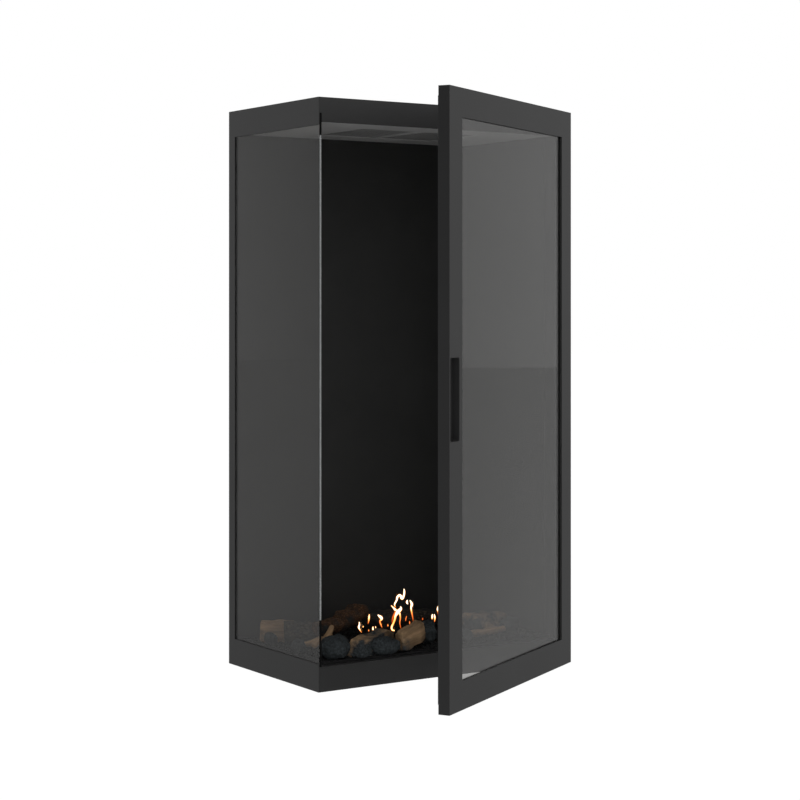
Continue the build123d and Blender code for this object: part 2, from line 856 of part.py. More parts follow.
def shape_log(start, end, width, height, section, roll=0.0, phase=0.0):
    """Makes one lofted log between two points, with a gentle swell and waver."""
    first = Vector(*start)
    along = Vector(*end) - first
    level = Vector(0, 0, 1).cross(along)
    with BuildPart() as shape:
        for station, size in enumerate(swell):
            share = station / (len(swell) - 1)
            wander = 0.06 * width * sin(2.6 * station + phase)
            centre = first + along * share + Vector(0, 0, wander)
            plane = Plane(origin=centre, x_dir=level, z_dir=along)
            with BuildSketch(plane.rotated((0, 0, roll))):
                Polygon(*[(x * width * size, y * height * size) for x, y in section], align=None)
        loft(ruled=True)
    return shape.part


logs = {
    "log_front": ((-220, -172, 78), (-80, -92, 80), 54, 48, split_section, 10, 0.4),
    "log_right": ((-100, -172, 80), (-8, -126, 94), 34, 56, slab_section, -25, 1.1),
    "log_back": ((-24, 98, 88), (228, 108, 66), 58, 54, round_section, 0, 2.0),
    "log_bark_high": ((-156, -6, 106), (-48, 70, 114), 50, 48, round_section, 20, 0.0),
    "log_bark_low": ((-236, -52, 104), (-160, -14, 108), 42, 40, round_section, 0, 1.6),
    "log_left_block": ((-284, 118, 82), (-206, 62, 82), 52, 52, split_section, 0, 2.4),
    "log_left_hump": ((-268, 40, 89), (-226, -30, 92), 56, 62, round_section, 30, 0.8),
    "log_door_side": ((150, -66, 88), (284, -24, 79), 50, 44, split_section, 15, 1.9),
    "branch_left": ((-292, -58, 74), (-246, -112, 96), 20, 18, round_section, 0, 0.3),
    "branch_right": ((132, -112, 68), (244, -88, 70), 22, 20, round_section, 0, 1.2),
}
fire_set = []


def seat(shapes, name, count=1):
    """Seats shapes on the ember bed and their neighbours, and saves the solids that they make."""
    with BuildPart() as bed:
        with BuildSketch(Plane.XY.offset(bed_top)):
            Rectangle(body_width, body_depth)
        extrude(amount=-plinth_height)
    with BuildPart() as piece:
        for shape in shapes:
            add(shape)
        for neighbour in [bed.part, *fire_set]:
            add(neighbour, mode=Mode.SUBTRACT)
    whole = piece.solids().sort_by(SortBy.VOLUME)[-count:]
    with BuildPart() as seated:
        add(whole)
    fire_set.extend(whole)
    save(seated, name)


for log_name, log_sizes in logs.items():
    seat([shape_log(*log_sizes)], log_name)

# Forked branch: two limbs grown from one stem
stem = shape_log((-292, -126, 86), (-240, -112, 100), 20, 18, round_section)
limb = shape_log((-256, -117, 96), (-232, -106, 124), 14, 14, round_section)
seat([stem, limb], "branch_fork")

# Stones: flattened lumps round the logs
stones = (
    (-256, -154, 80, 54, 52, 10),
    (-142, -168, 78, 46, 40, -20),
    (14, -112, 60, 48, 54, 30),
    (-288, -60, 32, 60, 34, 0),
    (-288, 66, 28, 46, 30, 10),
    (262, -86, 56, 46, 36, 25),
    (96, -130, 60, 34, 28, -10),
)
stone_levels = ((-0.5, 0.62), (-0.22, 0.96), (0.12, 1.0), (0.36, 0.78), (0.5, 0.4))
with BuildPart() as stone_group:
    for number, (x, y, width, depth, height, turn) in enumerate(stones):
        centre = Plane(origin=(x, y, bed_top + height * 0.45))
        for level, size in stone_levels:
            with BuildSketch(centre.offset(level * height).rotated((0, 0, turn))):
                outline = [
                    (
                        0.5 * width * size * cos(k * pi / 4) * (1 + 0.1 * sin(3.1 * k + number)),
                        0.5 * depth * size * sin(k * pi / 4) * (1 + 0.1 * sin(2.3 * k + number)),
                    )
                    for k in range(8)
                ]
                Polygon(*outline, align=None)
        loft(ruled=True)
seat(stone_group.solids(), "stones", len(stones))
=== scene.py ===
import bpy
import bmesh
import json
import random
from math import cos, pi, radians, sin, tau
from mathutils import Matrix, Vector, noise


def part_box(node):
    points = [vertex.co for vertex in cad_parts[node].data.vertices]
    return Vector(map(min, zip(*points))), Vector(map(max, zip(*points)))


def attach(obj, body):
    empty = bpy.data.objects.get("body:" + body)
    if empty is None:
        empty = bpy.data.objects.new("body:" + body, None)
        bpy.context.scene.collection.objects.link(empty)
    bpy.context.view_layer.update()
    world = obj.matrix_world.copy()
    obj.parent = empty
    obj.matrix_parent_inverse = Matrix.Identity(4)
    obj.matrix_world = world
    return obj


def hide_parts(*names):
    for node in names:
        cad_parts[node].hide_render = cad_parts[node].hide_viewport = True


bl_info = {
    "name": "Corner Fireplace Dressing",
    "version": (1, 0, 0),
    "blender": (4, 5, 0),
    "location": "View3D > Sidebar > Fireplace",
    "description": "Finishes, ceramic logs, embers, flames and studio for a corner gas fireplace",
    "category": "Object",
}

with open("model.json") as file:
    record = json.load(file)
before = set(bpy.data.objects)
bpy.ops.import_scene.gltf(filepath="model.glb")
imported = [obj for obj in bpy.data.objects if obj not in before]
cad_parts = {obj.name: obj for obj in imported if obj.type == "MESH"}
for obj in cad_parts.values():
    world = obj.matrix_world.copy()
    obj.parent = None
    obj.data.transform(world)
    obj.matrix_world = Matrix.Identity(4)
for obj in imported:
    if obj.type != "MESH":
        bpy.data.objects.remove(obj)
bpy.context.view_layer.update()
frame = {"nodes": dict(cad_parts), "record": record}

BODY = "body"
TAN_LOGS = (
    "log_front",
    "log_right",
    "log_left_block",
    "log_door_side",
    "branch_left",
    "branch_right",
    "branch_fork",
)
BARK_LOGS = ("log_back", "log_bark_high", "log_bark_low", "log_left_hump")

# Lengths of the near-black clips over the front edge of the side glass, painted shade for the dark
# ends of that edge
BOTTOM_CLIP = 0.1
TOP_CLIP = 0.048

# How deep the pale strip of painted light is let into the front edge of the side glass
EDGE_INSET = 0.0002

# Depths of the long furrows and the broad dents of a log
FURROW_DEPTH = 0.002
DENT_DEPTH = 0.0035

# Waves per metre along a log, across it, and for its dents
FURROW_LENGTHWISE = 9.0
FURROW_CROSSWISE = 95.0
DENT_WAVES = 34.0

# Depth of the facets of a stone, and their waves per metre
FACET_DEPTH = 0.0045
FACET_WAVES = 60.0

# Fineness and depth of the orange peel of a powder coat, and its drift of tone
PEEL_WAVES = 900.0
PEEL_DEPTH = 0.0002
TONE_DRIFT = 0.12

# Columns of faces in a tongue of flame, and rows between two points of its curve
FLAME_COLUMNS = 6
FLAME_ROWS = 6

# Seed of the random scatter of the embers
EMBER_SEED = 7

WHITE = (1.0, 1.0, 1.0)
BLACK = (0.0, 0.0, 0.0)

# Brightness of the surroundings in reflections, from the left of the object to its right
SURROUNDINGS = ((0.0, 0.1), (0.22, 0.35), (0.4, 0.9), (0.8, 0.9), (1.0, 0.5))

# The flames bend in an upright plane, turned from the front
FLAME_TURN = radians(-33.5)

# Tongues of flame: the foot, then its points, each with its way across, its height and its
# width in millimetres, and its warmth from 0 to 1
FLAMES = (
    ((-13, -20, 77), (
        (0.0, 0.0, 3.8, 0.7), (-5.6, 2.2, 5.3, 0.75), (-6.6, 8.8, 5.6, 0.75),
        (-2.6, 17.6, 5.3, 0.6), (0.4, 26.4, 5.9, 0.65), (2.2, 34.4, 7.0, 0.8),
        (7.6, 43.2, 10.6, 1), (14.1, 49.8, 7.6, 1), (13.9, 55.4, 2.6, 0.9),
    )),
    ((-4, -21, 116), (
        (0.0, 0.0, 8.8, 1), (-7.3, 9.2, 6.2, 0.95), (-16.0, 18.3, 1.8, 0.7),
    )),
    ((-10, -20, 130), (
        (0.0, 0.0, 2.1, 0.3), (-2.6, 7.0, 3.5, 0.9), (2.2, 16.6, 4.7, 1),
        (4.1, 24.3, 5.6, 1), (10.0, 28.2, 6.2, 1), (14.7, 20.8, 7.9, 1),
        (18.8, 28.2, 5.3, 1), (19.9, 36.4, 4.7, 1), (19.1, 42.8, 2.1, 1),
    )),
    ((1, -19, 117), (
        (0.0, 0.0, 5.0, 0.9), (2.1, -11.0, 3.8, 0.5), (0.9, -24.2, 2.9, 0.4),
        (3.7, -38.2, 1.2, 0.3),
    )),
    ((-18, -17, 95), (
        (0.0, 0.0, 2.3, 0.25), (1.8, 12.5, 4.4, 0.3), (8.2, 28.6, 3.5, 0.3),
    )),
    ((48, -6, 90), (
        (0.0, 0.0, 1.2, 0.25), (-1.2, 10.1, 3.3, 0.35), (-3.3, 20.4, 4.1, 0.5),
        (-5.0, 32.3, 4.7, 0.9), (-3.3, 40.9, 6.8, 1), (-7.6, 49.8, 2.1, 1),
    )),
    ((33, -6, 132), (
        (0.0, 0.0, 2.1, 1), (-2.2, 4.4, 5.6, 1), (-1.0, 9.8, 1.8, 1),
    )),
    ((24, -10, 94), (
        (0.0, 0.0, 1.5, 0.3), (0.6, 5.5, 3.0, 0.4), (2.5, 12.1, 1.8, 0.4),
    )),
    ((95, -40, 103), (
        (0.0, 0.0, 1.2, 0.3), (-0.3, 9.6, 3.6, 0.5), (-1.2, 17.0, 5.3, 1),
        (1.0, 26.2, 1.5, 0.9),
    )),
    ((76, -42, 98), (
        (0.0, 0.0, 2.4, 0.5), (0.7, 5.5, 5.0, 1), (0.9, 11.8, 2.1, 0.9),
    )),
    ((83, -42, 91), (
        (0.0, 0.0, 1.5, 0.3), (0.6, 4.0, 3.2, 0.5), (0.9, 10.6, 5.0, 0.8),
        (-0.4, 18.0, 2.1, 0.9),
    )),
    ((-134, -70, 91), (
        (0.0, 0.0, 1.1, 0.35), (-3.1, 4.6, 2.9, 0.6), (-6.7, 12.0, 4.9, 1),
        (-5.3, 17.7, 4.0, 1), (-5.7, 24.0, 2.3, 0.9),
    )),
    ((-101, -44, 104), (
        (0.0, 0.0, 1.4, 0.3), (1.6, 6.3, 3.5, 0.5), (2.5, 14.7, 4.6, 0.8),
        (3.0, 21.9, 2.0, 0.7),
    )),
    ((-63, -44, 92), (
        (0.0, 0.0, 1.4, 0.35), (-2.8, 7.5, 3.8, 0.5), (-4.8, 14.5, 4.6, 0.45),
        (-0.7, 19.9, 5.8, 0.9), (-3.0, 23.8, 8.1, 1), (-9.7, 29.0, 2.3, 1),
    )),
    ((-96, -60, 90), (
        (0.0, 0.0, 1.7, 0.6), (-1.6, 4.3, 4.3, 0.9), (-1.4, 10.1, 2.0, 0.7),
    )),
    ((-89, -58, 94), (
        (0.0, 0.0, 1.4, 0.6), (-0.3, 3.3, 2.9, 0.8), (-0.4, 5.5, 1.2, 0.6),
    )),
    ((-124, -60, 100), (
        (0.0, 0.0, 1.4, 0.5), (0.0, 2.2, 3.2, 0.7), (0.0, 4.3, 1.1, 0.5),
    )),
    ((-113, -66, 91), (
        (0.0, 0.0, 1.1, 0.4), (0.0, 2.4, 2.9, 0.5), (-0.1, 4.9, 1.1, 0.4),
    )),
    ((-51, -50, 94), (
        (0.0, 0.0, 1.2, 0.4), (0.0, 2.8, 3.8, 0.5), (0.0, 5.7, 1.2, 0.4),
    )),
    ((22, -30, 90), (
        (0.0, 0.0, 1.2, 0.35), (-0.1, 3.7, 3.2, 0.45), (0.0, 7.3, 1.2, 0.35),
    )),
    ((58, -30, 96), (
        (0.0, 0.0, 1.2, 0.25), (0.0, 3.0, 3.8, 0.3), (0.0, 5.5, 1.2, 0.25),
    )),
)


# Properties

class FireplaceStageSettings(bpy.types.PropertyGroup):
    """Camera, floor and light of the studio."""

    camera_place: bpy.props.FloatVectorProperty(
        name="Camera place",
        description="Where the camera stands",
        default=(-2.439, -3.705, 0.8337),
        subtype="XYZ",
        unit="LENGTH",
    )
    camera_turn: bpy.props.FloatProperty(
        name="Camera turn",
        description="Turn of the level camera to the right of straight back",
        default=radians(33.52),
        subtype="ANGLE",
        unit="ROTATION",
    )
    lens: bpy.props.FloatProperty(
        name="Lens",
        description="Focal length for a sensor 36 mm wide",
        default=86.39,
    )
    rise: bpy.props.FloatProperty(
        name="Rise",
        description="Vertical shift of the lens, as a share of the frame",
        default=-0.1233,
    )
    floor_size: bpy.props.FloatProperty(
        name="Floor size",
        description="Side of the pale floor",
        default=40.0,
        unit="LENGTH",
    )
    floor_shine: bpy.props.FloatProperty(
        name="Floor shine",
        description="Brightness of the floor in the reflections",
        default=0.4,
    )
    floor_light: bpy.props.FloatProperty(
        name="Floor light",
        description="Light that the floor gives back to the object",
        default=0.9,
    )
    sky_strength: bpy.props.FloatProperty(
        name="Sky strength",
        description="Brightness of the white surroundings",
        default=1.0,
    )


class FireplaceFinishSettings(bpy.types.PropertyGroup):
    """Colours of the metal, glass and small parts."""

    coat_colour: bpy.props.FloatVectorProperty(
        name="Coat colour",
        description="Black powder coat of the body and the door",
        default=(0.011, 0.011, 0.0112),
        subtype="COLOR",
        min=0.0,
        max=1.0,
    )
    liner_colour: bpy.props.FloatVectorProperty(
        name="Liner colour",
        description="Heat-proof paint of the inner walls",
        default=(0.021, 0.021, 0.021),
        subtype="COLOR",
        min=0.0,
        max=1.0,
    )
    ceiling_colour: bpy.props.FloatVectorProperty(
        name="Ceiling colour",
        description="Paler steel of the ceiling panel",
        default=(0.34, 0.34, 0.34),
        subtype="COLOR",
        min=0.0,
        max=1.0,
    )
    grille_colour: bpy.props.FloatVectorProperty(
        name="Grille colour",
        description="Perforated plates in the ceiling",
        default=(0.19, 0.19, 0.19),
        subtype="COLOR",
        min=0.0,
        max=1.0,
    )
    glass_tint: bpy.props.FloatVectorProperty(
        name="Glass tint",
        description="Colour that one face of the ceramic glass lets through",
        default=(0.89, 0.885, 0.87),
        subtype="COLOR",
        min=0.0,
        max=1.0,
    )


class FireplaceFireSettings(bpy.types.PropertyGroup):
    """Sizes and colours of the logs, embers and flames."""

    log_grid: bpy.props.FloatProperty(
        name="Log grid",
        description="Size of the facets of the logs",
        default=0.0019,
        unit="LENGTH",
    )
    stone_grid: bpy.props.FloatProperty(
        name="Stone grid",
        description="Size of the facets of the stones",
        default=0.0026,
        unit="LENGTH",
    )
    ember_count: bpy.props.IntProperty(
        name="Ember count",
        description="Number of loose granules on the ember bed",
        default=2600,
    )
    ember_size: bpy.props.FloatProperty(
        name="Ember size",
        description="Mean width of a granule",
        default=0.0075,
        unit="LENGTH",
    )
    flame_light: bpy.props.FloatProperty(
        name="Flame light",
        description="Brightness of the flames",
        default=2.6,
    )
    tan_colour: bpy.props.FloatVectorProperty(
        name="Split wood colour",
        description="Split faces of the ceramic logs",
        default=(0.235, 0.15, 0.082),
        subtype="COLOR",
        min=0.0,
        max=1.0,
    )
    bark_colour: bpy.props.FloatVectorProperty(
        name="Bark colour",
        description="Bark of the ceramic logs",
        default=(0.085, 0.045, 0.024),
        subtype="COLOR",
        min=0.0,
        max=1.0,
    )
    char_colour: bpy.props.FloatVectorProperty(
        name="Char colour",
        description="Charred parts of the ceramic logs",
        default=(0.021, 0.025, 0.027),
        subtype="COLOR",
        min=0.0,
        max=1.0,
    )


# Material tools

def new_material(name):
    """A node material with its shader and output, and the tree to add to."""
    material = bpy.data.materials.new(name)
    material.use_nodes = True
    tree = material.node_tree
    shader = tree.nodes["Principled BSDF"]
    return material, tree, shader


def object_noise(tree, scale, detail=4.0, roughness=0.55, stretch=None):
    """A noise texture over the object's own coordinates."""
    place = tree.nodes.new("ShaderNodeTexCoord")
    texture = tree.nodes.new("ShaderNodeTexNoise")
    texture.inputs["Scale"].default_value = scale
    texture.inputs["Detail"].default_value = detail
    texture.inputs["Roughness"].default_value = roughness
    if stretch is None:
        tree.links.new(place.outputs["Object"], texture.inputs["Vector"])
    else:
        mapping = tree.nodes.new("ShaderNodeMapping")
        mapping.inputs["Scale"].default_value = stretch
        tree.links.new(place.outputs["Object"], mapping.inputs["Vector"])
        tree.links.new(mapping.outputs["Vector"], texture.inputs["Vector"])
    return texture


def grain_noise(tree, scale, stretch, detail=5.0):
    """A noise texture that runs along a log, from the log's own grain coordinates."""
    grain = tree.nodes.new("ShaderNodeAttribute")
    grain.attribute_name = "grain"
    mapping = tree.nodes.new("ShaderNodeMapping")
    mapping.inputs["Scale"].default_value = stretch
    texture = tree.nodes.new("ShaderNodeTexNoise")
    texture.inputs["Scale"].default_value = scale
    texture.inputs["Detail"].default_value = detail
    texture.inputs["Roughness"].default_value = 0.62
    tree.links.new(grain.outputs["Vector"], mapping.inputs["Vector"])
    tree.links.new(mapping.outputs["Vector"], texture.inputs["Vector"])
    return texture


def colour_ramp(tree, source, stops):
    """A colour ramp fed by a value."""
    ramp = tree.nodes.new("ShaderNodeValToRGB")
    elements = ramp.color_ramp.elements
    while len(elements) < len(stops):
        elements.new(0.5)
    for element, (place, colour) in zip(elements, stops):
        element.position = place
        element.color = (*colour, 1.0)
    tree.links.new(source, ramp.inputs["Fac"])
    return ramp


def shade(colour, share):
    """A colour made lighter or darker."""
    return tuple(min(1.0, part * share) for part in colour)


def add_bump(tree, shader, source, strength, distance):
    """Bumps the shader by a value."""
    bump = tree.nodes.new("ShaderNodeBump")
    bump.inputs["Strength"].default_value = strength
    bump.inputs["Distance"].default_value = distance
    tree.links.new(source, bump.inputs["Height"])
    tree.links.new(bump.outputs["Normal"], shader.inputs["Normal"])


def grey(tone):
    """A neutral colour of the given brightness."""
    return (tone, tone, tone)


def mix_colours(tree):
    """A node that mixes two colours."""
    mix = tree.nodes.new("ShaderNodeMix")
    mix.data_type = "RGBA"
    return mix


def by_ray(tree, shine, fill):
    """White to the camera, with one tone for reflections and another for the light it gives."""
    path = tree.nodes.new("ShaderNodeLightPath")
    glossy = mix_colours(tree)
    seen = mix_colours(tree)
    tree.links.new(path.outputs["Is Glossy Ray"], glossy.inputs["Factor"])
    tree.links.new(path.outputs["Is Camera Ray"], seen.inputs["Factor"])
    glossy.inputs["A"].default_value = (*grey(fill), 1.0)
    if isinstance(shine, float):
        glossy.inputs["B"].default_value = (*grey(shine), 1.0)
    else:
        tree.links.new(shine, glossy.inputs["B"])
    tree.links.new(glossy.outputs["Result"], seen.inputs["A"])
    seen.inputs["B"].default_value = (*WHITE, 1.0)
    return seen


def painted_steel(name, colour, roughness, specular):
    """Powder coat: fine orange peel and a faint drift of tone."""
    material, tree, shader = new_material(name)
    drift = object_noise(tree, 5.0, detail=3.0)
    ramp = colour_ramp(
        tree,
        drift.outputs["Fac"],
        ((0.3, shade(colour, 1.0 - TONE_DRIFT)), (0.7, shade(colour, 1.0 + TONE_DRIFT))),
    )
    tree.links.new(ramp.outputs["Color"], shader.inputs["Base Color"])
    peel = object_noise(tree, PEEL_WAVES, detail=2.0)
    add_bump(tree, shader, peel.outputs["Fac"], strength=0.12, distance=PEEL_DEPTH)
    shader.inputs["Roughness"].default_value = roughness
    shader.inputs["Specular IOR Level"].default_value = specular
    return material


def bare_metal(name, colour, roughness, stretch):
    """Bare metal with drawn or turned lines."""
    material, tree, shader = new_material(name)
    lines = object_noise(tree, 60.0, stretch=stretch)
    ramp = colour_ramp(
        tree,
        lines.outputs["Fac"],
        ((0.35, shade(colour, 0.8)), (0.65, shade(colour, 1.12))),
    )
    tree.links.new(ramp.outputs["Color"], shader.inputs["Base Color"])
    add_bump(tree, shader, lines.outputs["Fac"], strength=0.15, distance=0.0002)
    shader.inputs["Metallic"].default_value = 1.0
    shader.inputs["Roughness"].default_value = roughness
    return material


def woven_tape(name, colour):
    """Woven fibre tape: crossed waves for the weave."""
    material, tree, shader = new_material(name)
    place = tree.nodes.new("ShaderNodeTexCoord")
    heights = []
    for direction in ("X", "Z"):
        wave = tree.nodes.new("ShaderNodeTexWave")
        wave.bands_direction = direction
        wave.inputs["Scale"].default_value = 220.0
        wave.inputs["Distortion"].default_value = 0.8
        tree.links.new(place.outputs["Object"], wave.inputs["Vector"])
        heights.append(wave.outputs["Fac"])
    cross = tree.nodes.new("ShaderNodeMath")
    cross.operation = "MULTIPLY"
    tree.links.new(heights[0], cross.inputs[0])
    tree.links.new(heights[1], cross.inputs[1])
    ramp = colour_ramp(
        tree, cross.outputs["Value"], ((0.1, shade(colour, 0.6)), (0.8, shade(colour, 1.3)))
    )
    tree.links.new(ramp.outputs["Color"], shader.inputs["Base Color"])
    add_bump(tree, shader, cross.outputs["Value"], strength=0.5, distance=0.0006)
    shader.inputs["Roughness"].default_value = 0.95
    return material


def ceramic_glass(name, tint, index):
    """Clear ceramic glass that lets light and shadow rays through."""
    material, tree, shader = new_material(name)
    shader.inputs["Base Color"].default_value = (*tint, 1.0)
    shader.inputs["Transmission Weight"].default_value = 1.0
    shader.inputs["IOR"].default_value = index
    film = object_noise(tree, 3.0, detail=2.0)
    ramp = colour_ramp(tree, film.outputs["Fac"], ((0.3, BLACK), (0.8, grey(0.03))))
    tree.links.new(ramp.outputs["Color"], shader.inputs["Roughness"])
    clear = tree.nodes.new("ShaderNodeBsdfTransparent")
    clear.inputs["Color"].default_value = (*tint, 1.0)
    path = tree.nodes.new("ShaderNodeLightPath")
    mix = tree.nodes.new("ShaderNodeMixShader")
    output = tree.nodes["Material Output"]
    tree.links.new(path.outputs["Is Shadow Ray"], mix.inputs["Fac"])
    tree.links.new(shader.outputs["BSDF"], mix.inputs[1])
    tree.links.new(clear.outputs["BSDF"], mix.inputs[2])
    tree.links.new(mix.outputs["Shader"], output.inputs["Surface"])
    return material


def split_wood(name, fresh, char, char_share):
    """Ceramic cast of split wood: long grain, cracks and charred patches."""
    material, tree, shader = new_material(name)
    grain = grain_noise(tree, 95.0, stretch=(0.07, 1.0, 1.0))
    wood = colour_ramp(
        tree,
        grain.outputs["Fac"],
        ((0.3, shade(fresh, 0.42)), (0.48, shade(fresh, 0.85)), (0.7, shade(fresh, 1.35))),
    )
    burn = grain_noise(tree, 16.0, stretch=(0.6, 1.0, 1.0), detail=6.0)
    low = 1.0 - char_share
    mask = colour_ramp(
        tree,
        burn.outputs["Fac"],
        ((low - 0.07, BLACK), (low + 0.05, WHITE)),
    )
    soot = object_noise(tree, 260.0)
    charred = colour_ramp(
        tree, soot.outputs["Fac"], ((0.35, shade(char, 0.45)), (0.7, shade(char, 1.9)))
    )
    mix = mix_colours(tree)
    tree.links.new(mask.outputs["Color"], mix.inputs["Factor"])
    tree.links.new(wood.outputs["Color"], mix.inputs["A"])
    tree.links.new(charred.outputs["Color"], mix.inputs["B"])
    tree.links.new(mix.outputs["Result"], shader.inputs["Base Color"])
    add_bump(tree, shader, grain.outputs["Fac"], strength=0.6, distance=0.0016)
    shader.inputs["Roughness"].default_value = 0.85
    shader.inputs["Specular IOR Level"].default_value = 0.25
    return material


def rough_bark(name, bark, char):
    """Ceramic cast of bark: cracked plates with pale crests and black furrows."""
    material, tree, shader = new_material(name)
    grain = tree.nodes.new("ShaderNodeAttribute")
    grain.attribute_name = "grain"
    mapping = tree.nodes.new("ShaderNodeMapping")
    mapping.inputs["Scale"].default_value = (0.35, 1.0, 1.0)
    plates = tree.nodes.new("ShaderNodeTexVoronoi")
    plates.feature = "DISTANCE_TO_EDGE"
    plates.inputs["Scale"].default_value = 210.0
    tree.links.new(grain.outputs["Vector"], mapping.inputs["Vector"])
    tree.links.new(mapping.outputs["Vector"], plates.inputs["Vector"])
    furrows = colour_ramp(
        tree,
        plates.outputs["Distance"],
        ((0.02, shade(bark, 0.35)), (0.16, shade(bark, 0.8)), (0.45, shade(bark, 1.3))),
    )
    burn = grain_noise(tree, 22.0, stretch=(1.0, 1.0, 1.0))
    mask = colour_ramp(tree, burn.outputs["Fac"], ((0.46, BLACK), (0.62, WHITE)))
    mix = mix_colours(tree)
    mix.inputs["B"].default_value = (*shade(char, 0.8), 1.0)
    tree.links.new(mask.outputs["Color"], mix.inputs["Factor"])
    tree.links.new(furrows.outputs["Color"], mix.inputs["A"])
    tree.links.new(mix.outputs["Result"], shader.inputs["Base Color"])
    add_bump(tree, shader, plates.outputs["Distance"], strength=0.9, distance=0.003)
    shader.inputs["Roughness"].default_value = 0.92
    shader.inputs["Specular IOR Level"].default_value = 0.2
    return material


def fire_stone(name, colour, scale):
    """Speckled fire stone or granule."""
    material, tree, shader = new_material(name)
    speck = object_noise(tree, scale, detail=6.0, roughness=0.7)
    ramp = colour_ramp(
        tree,
        speck.outputs["Fac"],
        ((0.32, shade(colour, 0.35)), (0.5, colour), (0.72, shade(colour, 2.2))),
    )
    tree.links.new(ramp.outputs["Color"], shader.inputs["Base Color"])
    add_bump(tree, shader, speck.outputs["Fac"], strength=0.7, distance=0.002)
    shader.inputs["Roughness"].default_value = 0.9
    shader.inputs["Specular IOR Level"].default_value = 0.2
    return material


def flame_body(name, light):
    """Glowing gas: orange at the edge, pale yellow in the heart, thin at the edge."""
    material, tree, shader = new_material(name)
    warmth = tree.nodes.new("ShaderNodeAttribute")
    warmth.attribute_name = "warmth"
    ramp = colour_ramp(
        tree,
        warmth.outputs["Fac"],
        (
            (0.1, (0.12, 0.008, 0.001)),
            (0.35, (0.5, 0.09, 0.012)),
            (0.6, (0.9, 0.42, 0.1)),
            (0.85, (1.0, 0.9, 0.66)),
        ),
    )
    shader.inputs["Base Color"].default_value = (*BLACK, 1.0)
    shader.inputs["Specular IOR Level"].default_value = 0.0
    shader.inputs["Emission Strength"].default_value = light
    tree.links.new(ramp.outputs["Color"], shader.inputs["Emission Color"])
    veil = colour_ramp(tree, warmth.outputs["Fac"], ((0.0, BLACK), (0.3, grey(0.95))))
    tree.links.new(veil.outputs["Color"], shader.inputs["Alpha"])
    return material


# Mesh tools

def link(name, mesh):
    """A new object for a mesh, in the scene."""
    thing = bpy.data.objects.new(name, mesh)
    bpy.context.scene.collection.objects.link(thing)
    return thing


def main_axis(points):
    """The middle of some points and the direction in which they reach furthest."""
    middle = sum(points, Vector()) / len(points)
    axis = Vector((1.0, 0.3, 0.1)).normalized()
    for _ in range(24):
        pull = Vector()
        for point in points:
            arm = point - middle
            pull += arm * arm.dot(axis)
        axis = pull.normalized()
    return middle, axis


def refined_copy(node, name, grid):
    """A finer, evenly faceted copy of a CAD node's mesh, as a new object."""
    source = frame["nodes"][node]
    rough = link(f"{name}_rough", source.data.copy())
    remesh = rough.modifiers.new("Even facets", "REMESH")
    remesh.mode = "VOXEL"
    remesh.voxel_size = grid
    smooth = rough.modifiers.new("Soft edges", "SMOOTH")
    smooth.factor = 0.5
    smooth.iterations = 1
    held = bpy.context.evaluated_depsgraph_get()
    mesh = bpy.data.meshes.new_from_object(rough.evaluated_get(held))
    mesh.name = name
    bpy.data.objects.remove(rough)
    for polygon in mesh.polygons:
        polygon.use_smooth = True
    mesh.materials.clear()
    return link(name, mesh)


def carve_log(piece):
    """Runs furrows along a log and dents across it, and stores its grain coordinates."""
    mesh = piece.data
    points = [vertex.co.copy() for vertex in mesh.vertices]
    middle, axis = main_axis(points)
    side = axis.cross(Vector((0.0, 0.0, 1.0))).normalized()
    rise = side.cross(axis)
    grain = mesh.attributes.new("grain", "FLOAT_VECTOR", "POINT")
    normals = [vertex.normal.copy() for vertex in mesh.vertices]
    for vertex, point, normal in zip(mesh.vertices, points, normals):
        arm = point - middle
        local = Vector((arm.dot(axis), arm.dot(side), arm.dot(rise)))
        grain.data[vertex.index].vector = local
        along = Vector((
            local.x * FURROW_LENGTHWISE,
            local.y * FURROW_CROSSWISE,
            local.z * FURROW_CROSSWISE,
        ))
        furrow = FURROW_DEPTH * (noise.noise(along) - 0.15)
        dent = DENT_DEPTH * noise.noise(local * DENT_WAVES)
        vertex.co = point + normal * min(furrow + dent, 0.4 * FURROW_DEPTH)
    mesh.update()


def roughen(piece):
    """Gives a stone broad facets and small pits."""
    mesh = piece.data
    normals = [vertex.normal.copy() for vertex in mesh.vertices]
    for vertex, normal in zip(mesh.vertices, normals):
        broad = noise.noise(vertex.co * FACET_WAVES)
        fine = noise.noise(vertex.co * FACET_WAVES * 4.0)
        vertex.co += normal * (FACET_DEPTH * (broad - 0.3) + 0.35 * FACET_DEPTH * fine)
    mesh.update()


def granule(shape, place, width, chance):
    """Adds one angular granule to a mesh."""
    turn = Matrix.Rotation(chance.uniform(0.0, tau), 4, Vector((chance.random(), 0.4, 0.8)))
    stretch = Matrix.Diagonal((1.0, chance.uniform(0.6, 1.0), chance.uniform(0.45, 0.8), 1.0))
    made = bmesh.ops.create_icosphere(
        shape,
        subdivisions=1,
        radius=width / 2,
        matrix=Matrix.Translation(place) @ turn @ stretch,
    )
    for corner in made["verts"]:
        arm = corner.co - place
        corner.co = place + arm * chance.uniform(0.72, 1.08)


def smooth_path(points, steps):
    """A smooth curve through rows of numbers, with the given steps between two rows."""
    padded = [points[0], *points, points[-1]]
    rows = []
    for a, b, c, d in zip(padded, padded[1:], padded[2:], padded[3:]):
        for step in range(steps):
            t = step / steps
            rows.append([
                0.5 * (2 * q + (r - p) * t + (2 * p - 5 * q + 4 * r - s) * t * t
                       + (3 * q - p - 3 * r + s) * t ** 3)
                for p, q, r, s in zip(a, b, c, d)
            ])
    rows.append(list(points[-1]))
    return rows


